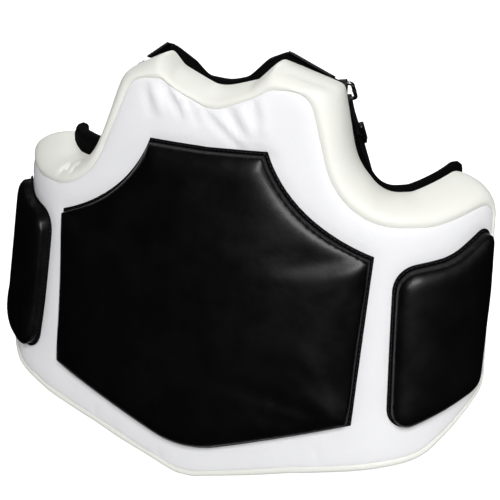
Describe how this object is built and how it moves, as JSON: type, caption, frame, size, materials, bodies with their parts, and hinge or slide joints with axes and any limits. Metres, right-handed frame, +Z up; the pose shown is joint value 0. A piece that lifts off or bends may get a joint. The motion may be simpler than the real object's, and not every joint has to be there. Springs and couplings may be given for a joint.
{
  "type": "chest protector",
  "caption": "Curved foam body protector for a boxing trainer, with folding side wings, raised pads, adjustable back straps and a buckled waist belt.",
  "frame": {"origin": "middle of the level stretch of the hem's lowest edge, on the centre line", "axes": "+Z up the wearer's body, -Y forwards out of the chest, +X to the wearer's left"},
  "size_m": [0.4954, 0.2666, 0.3782],
  "materials": {
    "white_vinyl": "smooth satin coated fabric",
    "cream_vinyl": "soft satin coated fabric",
    "black_vinyl": "glossy coated fabric",
    "lining_fabric": "matt knitted lining",
    "foam": "closed-cell foam, not seen",
    "webbing": "ribbed woven webbing",
    "steel": "nickel-plated wire and pressed steel",
    "black_plastic": "moulded acetal"
  },
  "bodies": {
    "front": {"front_panel": "white_vinyl", "front_foam": "foam", "front_liner": "lining_fabric", "neck_band": "cream_vinyl", "armhole_band_left": "cream_vinyl", "armhole_band_right": "cream_vinyl", "front_hem_band": "cream_vinyl", "center_pad_cover": "black_vinyl", "center_pad_foam": "foam", "center_pad_piping": "black_vinyl", "shoulder_binding_left": "webbing", "shoulder_binding_right": "webbing", "shoulder_loop_left": "webbing", "shoulder_loop_right": "webbing"},
    "wing_left": {"wing_panel_left": "white_vinyl", "wing_foam_left": "foam", "wing_liner_left": "lining_fabric", "wing_band_left": "cream_vinyl", "side_pad_cover_left": "black_vinyl", "side_pad_foam_left": "foam", "side_pad_piping_left": "black_vinyl", "belt_anchor_left": "webbing"},
    "shoulder_ring_left": {"shoulder_ring_left": "steel"},
    "back_strap_left": {"back_strap_left": "webbing"},
    "strap_slider_left": {"strap_slider_left": "steel"},
    "belt_ring_left": {"belt_ring_left": "steel"},
    "wing_right": {"wing_panel_right": "white_vinyl", "wing_foam_right": "foam", "wing_liner_right": "lining_fabric", "wing_band_right": "cream_vinyl", "side_pad_cover_right": "black_vinyl", "side_pad_foam_right": "foam", "side_pad_piping_right": "black_vinyl", "belt_anchor_right": "webbing"},
    "shoulder_ring_right": {"shoulder_ring_right": "steel"},
    "back_strap_right": {"back_strap_right": "webbing"},
    "strap_slider_right": {"strap_slider_right": "steel"},
    "belt_ring_right": {"belt_ring_right": "steel"},
    "belt_left": {"belt_strap_left": "webbing", "buckle_housing": "black_plastic"},
    "belt_right": {"belt_strap_right": "webbing", "buckle_insert": "black_plastic"},
    "belt_slider": {"belt_slider": "black_plastic"},
    "buckle_prong_upper": {"buckle_prong_upper": "black_plastic"},
    "buckle_prong_lower": {"buckle_prong_lower": "black_plastic"}
  },
  "joints": [
    {"name": "wing_fold_left", "type": "hinge", "parent": "front", "child": "wing_left", "pos_m": [0.16747, 0.03118, 0.1425], "axis": [0.0501, -0.2133, -0.9757], "range_deg": [0, 30]},
    {"name": "shoulder_ring_swing_left", "type": "hinge", "parent": "front", "child": "shoulder_ring_left", "pos_m": [0.08976, 0.11507, 0.3485], "axis": [-0.986, -0.1163, -0.1191], "range_deg": [0, 12]},
    {"name": "back_strap_swing_left", "type": "hinge", "parent": "shoulder_ring_left", "child": "back_strap_left", "pos_m": [0.09024, 0.12727, 0.33266], "axis": [-0.986, -0.1163, -0.1191], "range_deg": [0, 24]},
    {"name": "strap_slide_left", "type": "slide", "parent": "back_strap_left", "child": "strap_slider_left", "axis": [0.0238, 0.6097, -0.7923], "range_m": [0, 0.05]},
    {"name": "belt_ring_swing_left", "type": "hinge", "parent": "wing_left", "child": "belt_ring_left", "pos_m": [0.1951, 0.14986, 0.17], "axis": [0.0662, -0.2004, -0.9775], "range_deg": [0, 25]},
    {"name": "belt_swing_left", "type": "hinge", "parent": "belt_ring_left", "child": "belt_left", "pos_m": [0.19044, 0.16885, 0.16579], "axis": [0.0662, -0.2004, -0.9775], "range_deg": [0, 75]},
    {"name": "wing_fold_right", "type": "hinge", "parent": "front", "child": "wing_right", "pos_m": [-0.16747, 0.03118, 0.1425], "axis": [0.0501, 0.2133, 0.9757], "range_deg": [0, 30]},
    {"name": "shoulder_ring_swing_right", "type": "hinge", "parent": "front", "child": "shoulder_ring_right", "pos_m": [-0.08976, 0.11507, 0.3485], "axis": [-0.986, 0.1163, 0.1191], "range_deg": [0, 12]},
    {"name": "back_strap_swing_right", "type": "hinge", "parent": "shoulder_ring_right", "child": "back_strap_right", "pos_m": [-0.09024, 0.12727, 0.33266], "axis": [-0.986, 0.1163, 0.1191], "range_deg": [0, 24]},
    {"name": "strap_slide_right", "type": "slide", "parent": "back_strap_right", "child": "strap_slider_right", "axis": [-0.0238, 0.6097, -0.7923], "range_m": [0, 0.05]},
    {"name": "belt_ring_swing_right", "type": "hinge", "parent": "wing_right", "child": "belt_ring_right", "pos_m": [-0.1951, 0.14986, 0.17], "axis": [0.0662, 0.2004, 0.9775], "range_deg": [0, 25]},
    {"name": "belt_swing_right", "type": "hinge", "parent": "belt_ring_right", "child": "belt_right", "pos_m": [-0.19044, 0.16885, 0.16579], "axis": [0.0662, 0.2004, 0.9775], "range_deg": [0, 75]},
    {"name": "belt_slide", "type": "slide", "parent": "belt_left", "child": "belt_slider", "axis": [1, 0, 0], "range_m": [0, 0.022]},
    {"name": "prong_squeeze_upper", "type": "hinge", "parent": "belt_right", "child": "buckle_prong_upper", "pos_m": [-0.0262, 0.23855, 0.1843], "axis": [0, 1, 0], "range_deg": [0, 8]},
    {"name": "prong_squeeze_lower", "type": "hinge", "parent": "belt_right", "child": "buckle_prong_lower", "pos_m": [-0.0262, 0.23855, 0.1557], "axis": [0, -1, 0], "range_deg": [0, 8]}
  ],
  "couplings": [
    {"joint": "prong_squeeze_lower", "follows": "prong_squeeze_upper", "ratio": 1}
  ]
}
